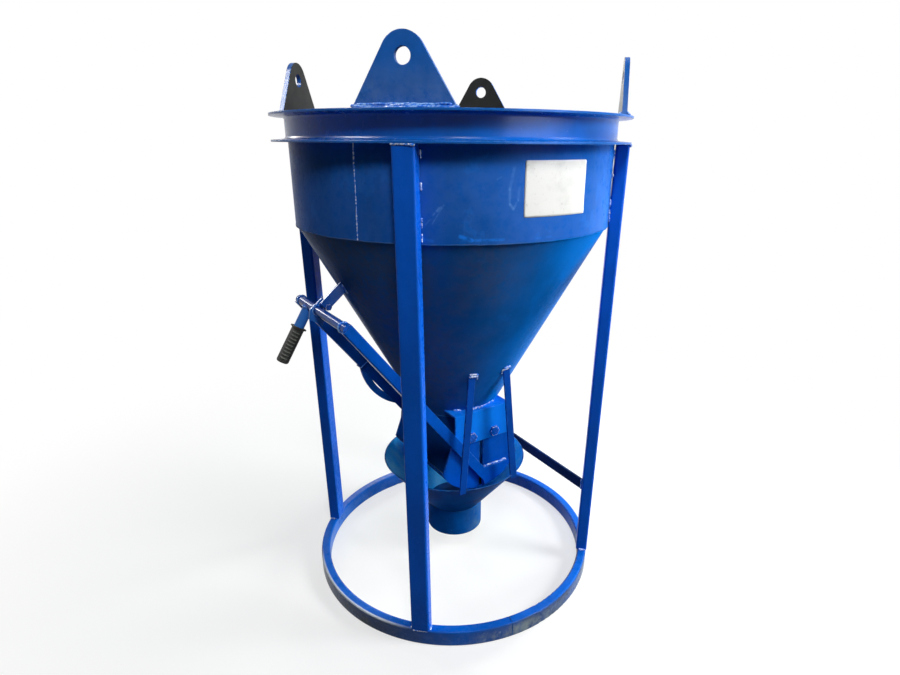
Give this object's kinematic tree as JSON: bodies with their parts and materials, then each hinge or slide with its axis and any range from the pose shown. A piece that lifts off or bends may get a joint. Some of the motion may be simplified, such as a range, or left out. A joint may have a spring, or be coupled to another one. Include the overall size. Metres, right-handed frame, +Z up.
{
  "type": "concrete bucket",
  "caption": "Blue crane-lifted concrete bucket: drum, cone and clamshell gate worked by a yoke lever, over a hose funnel, on legs with a base ring.",
  "frame": {"origin": "on the ground under the middle of the overall box; the bucket's own axis stands at x = +25 mm because the lever reaches out on the other side", "axes": "+Z up; -X towards the lever handle; the gate's pivots run along Y"},
  "size_m": [1.1996, 1.15, 1.848],
  "materials": {
    "blue_enamel": "gloss enamel over welded steel",
    "gear_steel": "bare, oiled",
    "grip_rubber": "moulded, ribbed"
  },
  "bodies": {
    "bucket": {"drum_shell": "blue_enamel", "rim_channel": "blue_enamel", "hopper_cone": "blue_enamel", "outlet_neck": "blue_enamel", "leg_front_left": "blue_enamel", "leg_front_right": "blue_enamel", "leg_rear_left": "blue_enamel", "leg_rear_right": "blue_enamel", "base_ring": "blue_enamel", "tie_bar": "blue_enamel", "lug_front_left": "blue_enamel", "lug_front_right": "blue_enamel", "lug_rear_left": "blue_enamel", "lug_rear_right": "blue_enamel", "gate_cover_front": "blue_enamel", "gate_cover_rear": "blue_enamel", "pivot_bosses": "blue_enamel", "pivot_bolts": "blue_enamel", "discharge_funnel": "blue_enamel", "discharge_tube": "blue_enamel", "hanger_front_left": "blue_enamel", "hanger_front_right": "blue_enamel", "hanger_rear_left": "blue_enamel", "hanger_rear_right": "blue_enamel", "stop_bracket": "blue_enamel", "stop_bolt": "blue_enamel"},
    "lever": {"right_jaw_shell": "blue_enamel", "right_jaw_plate_front": "blue_enamel", "right_jaw_plate_rear": "blue_enamel", "right_jaw_gear_front": "gear_steel", "right_jaw_gear_rear": "gear_steel", "arm_tube_front": "blue_enamel", "arm_tube_rear": "blue_enamel", "arm_bar_front": "blue_enamel", "arm_bar_rear": "blue_enamel", "arm_foot_pad_front": "blue_enamel", "arm_foot_pad_rear": "blue_enamel", "rear_arm_bow": "blue_enamel", "cross_tube": "blue_enamel", "handle_plate": "blue_enamel", "handle_tube": "blue_enamel", "rubber_grip": "grip_rubber"},
    "left_jaw": {"left_jaw_shell": "blue_enamel", "left_jaw_plate_front": "blue_enamel", "left_jaw_plate_rear": "blue_enamel", "left_jaw_gear_front": "gear_steel", "left_jaw_gear_rear": "gear_steel"}
  },
  "joints": [
    {"name": "lever_hinge", "type": "hinge", "parent": "bucket", "child": "lever", "pos_m": [0.075, 0, 0.6], "axis": [0, -1, 0], "range_deg": [0, 35]},
    {"name": "left_jaw_hinge", "type": "hinge", "parent": "bucket", "child": "left_jaw", "pos_m": [-0.025, 0, 0.6], "axis": [0, -1, 0], "range_deg": [-35, 0]}
  ],
  "couplings": [
    {"joint": "left_jaw_hinge", "follows": "lever_hinge", "ratio": -1}
  ]
}
